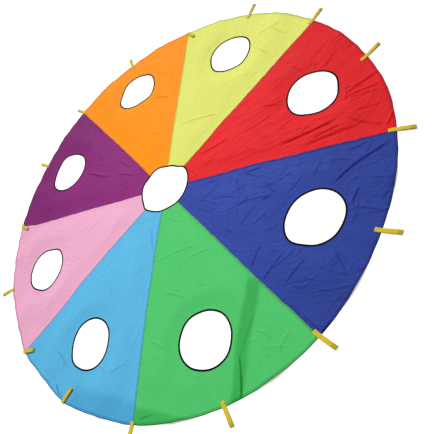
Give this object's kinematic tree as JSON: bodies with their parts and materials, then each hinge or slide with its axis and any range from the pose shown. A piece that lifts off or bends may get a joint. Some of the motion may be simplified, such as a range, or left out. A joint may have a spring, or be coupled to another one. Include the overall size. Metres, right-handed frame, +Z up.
{
  "type": "play parachute",
  "caption": "Round fabric game canopy of coloured wedge panels with tape-bound head holes, an open centre vent and webbing loop handles round its hem.",
  "frame": {"origin": "centre of the laid canopy, on the floor it lies on", "axes": "+Z up, square to the laid canopy; +X along the middle of the red panel"},
  "size_m": [3.21, 3.21, 0.0104],
  "materials": {
    "fabric_red": "woven polyester taffeta, slight sheen",
    "fabric_navy": "woven polyester taffeta, slight sheen",
    "fabric_green": "woven polyester taffeta, slight sheen",
    "fabric_sky": "woven polyester taffeta, slight sheen",
    "fabric_pink": "woven polyester taffeta, slight sheen",
    "fabric_purple": "woven polyester taffeta, slight sheen",
    "fabric_orange": "woven polyester taffeta, slight sheen",
    "fabric_yellow": "woven polyester taffeta, slight sheen",
    "binding": "black woven binding tape, matt",
    "webbing": "golden woven webbing, matt"
  },
  "bodies": {
    "canopy": {"panel_red": "fabric_red", "hole_binding_red": "binding", "panel_navy": "fabric_navy", "hole_binding_navy": "binding", "panel_green": "fabric_green", "hole_binding_green": "binding", "panel_sky": "fabric_sky", "hole_binding_sky": "binding", "panel_pink": "fabric_pink", "hole_binding_pink": "binding", "panel_purple": "fabric_purple", "hole_binding_purple": "binding", "panel_orange": "fabric_orange", "hole_binding_orange": "binding", "panel_yellow": "fabric_yellow", "hole_binding_yellow": "binding", "vent_binding": "binding", "handle_end_red": "webbing", "handle_end_red_navy": "webbing", "handle_end_navy": "webbing", "handle_end_navy_green": "webbing", "handle_end_green": "webbing", "handle_end_green_sky": "webbing", "handle_end_sky": "webbing", "handle_end_sky_pink": "webbing", "handle_end_pink": "webbing", "handle_end_pink_purple": "webbing", "handle_end_purple": "webbing", "handle_end_purple_orange": "webbing", "handle_end_orange": "webbing", "handle_end_orange_yellow": "webbing", "handle_end_yellow": "webbing", "handle_end_yellow_red": "webbing"},
    "loop_red": {"handle_loop_red": "webbing"},
    "loop_red_navy": {"handle_loop_red_navy": "webbing"},
    "loop_navy": {"handle_loop_navy": "webbing"},
    "loop_navy_green": {"handle_loop_navy_green": "webbing"},
    "loop_green": {"handle_loop_green": "webbing"},
    "loop_green_sky": {"handle_loop_green_sky": "webbing"},
    "loop_sky": {"handle_loop_sky": "webbing"},
    "loop_sky_pink": {"handle_loop_sky_pink": "webbing"},
    "loop_pink": {"handle_loop_pink": "webbing"},
    "loop_pink_purple": {"handle_loop_pink_purple": "webbing"},
    "loop_purple": {"handle_loop_purple": "webbing"},
    "loop_purple_orange": {"handle_loop_purple_orange": "webbing"},
    "loop_orange": {"handle_loop_orange": "webbing"},
    "loop_orange_yellow": {"handle_loop_orange_yellow": "webbing"},
    "loop_yellow": {"handle_loop_yellow": "webbing"},
    "loop_yellow_red": {"handle_loop_yellow_red": "webbing"}
  },
  "joints": [
    {"name": "fold_red", "type": "hinge", "parent": "canopy", "child": "loop_red", "pos_m": [1.5, 0, 0.00515], "axis": [0, -1, 0], "range_deg": [0, 180]},
    {"name": "fold_red_navy", "type": "hinge", "parent": "canopy", "child": "loop_red_navy", "pos_m": [1.38582, -0.57403, 0.00515], "axis": [-0.3827, -0.9239, 0], "range_deg": [0, 180]},
    {"name": "fold_navy", "type": "hinge", "parent": "canopy", "child": "loop_navy", "pos_m": [1.06066, -1.06066, 0.00515], "axis": [-0.7071, -0.7071, 0], "range_deg": [0, 180]},
    {"name": "fold_navy_green", "type": "hinge", "parent": "canopy", "child": "loop_navy_green", "pos_m": [0.57403, -1.38582, 0.00515], "axis": [-0.9239, -0.3827, 0], "range_deg": [0, 180]},
    {"name": "fold_green", "type": "hinge", "parent": "canopy", "child": "loop_green", "pos_m": [0, -1.5, 0.00515], "axis": [-1, 0, 0], "range_deg": [0, 180]},
    {"name": "fold_green_sky", "type": "hinge", "parent": "canopy", "child": "loop_green_sky", "pos_m": [-0.57403, -1.38582, 0.00515], "axis": [-0.9239, 0.3827, 0], "range_deg": [0, 180]},
    {"name": "fold_sky", "type": "hinge", "parent": "canopy", "child": "loop_sky", "pos_m": [-1.06066, -1.06066, 0.00515], "axis": [-0.6293, 0.7771, 0], "range_deg": [-180, 0]},
    {"name": "fold_sky_pink", "type": "hinge", "parent": "canopy", "child": "loop_sky_pink", "pos_m": [-1.38582, -0.57403, 0.00515], "axis": [-0.0436, 0.999, 0], "range_deg": [-180, 0]},
    {"name": "fold_pink", "type": "hinge", "parent": "canopy", "child": "loop_pink", "pos_m": [-1.5, 0, 0.00515], "axis": [0, 1, 0], "range_deg": [0, 180]},
    {"name": "fold_pink_purple", "type": "hinge", "parent": "canopy", "child": "loop_pink_purple", "pos_m": [-1.38582, 0.57403, 0.00515], "axis": [0.5807, 0.8141, 0], "range_deg": [-180, 0]},
    {"name": "fold_purple", "type": "hinge", "parent": "canopy", "child": "loop_purple", "pos_m": [-1.06066, 1.06066, 0.00515], "axis": [0.7071, 0.7071, 0], "range_deg": [0, 180]},
    {"name": "fold_purple_orange", "type": "hinge", "parent": "canopy", "child": "loop_purple_orange", "pos_m": [-0.57403, 1.38582, 0.00515], "axis": [0.9239, 0.3827, 0], "range_deg": [0, 180]},
    {"name": "fold_orange", "type": "hinge", "parent": "canopy", "child": "loop_orange", "pos_m": [0, 1.5, 0.00515], "axis": [1, 0, 0], "range_deg": [0, 180]},
    {"name": "fold_orange_yellow", "type": "hinge", "parent": "canopy", "child": "loop_orange_yellow", "pos_m": [0.57403, 1.38582, 0.00515], "axis": [0.9997, -0.0262, 0], "range_deg": [-180, 0]},
    {"name": "fold_yellow", "type": "hinge", "parent": "canopy", "child": "loop_yellow", "pos_m": [1.06066, 1.06066, 0.00515], "axis": [0.7071, -0.7071, 0], "range_deg": [0, 180]},
    {"name": "fold_yellow_red", "type": "hinge", "parent": "canopy", "child": "loop_yellow_red", "pos_m": [1.38582, 0.57403, 0.00515], "axis": [0.3827, -0.9239, 0], "range_deg": [0, 180]}
  ]
}
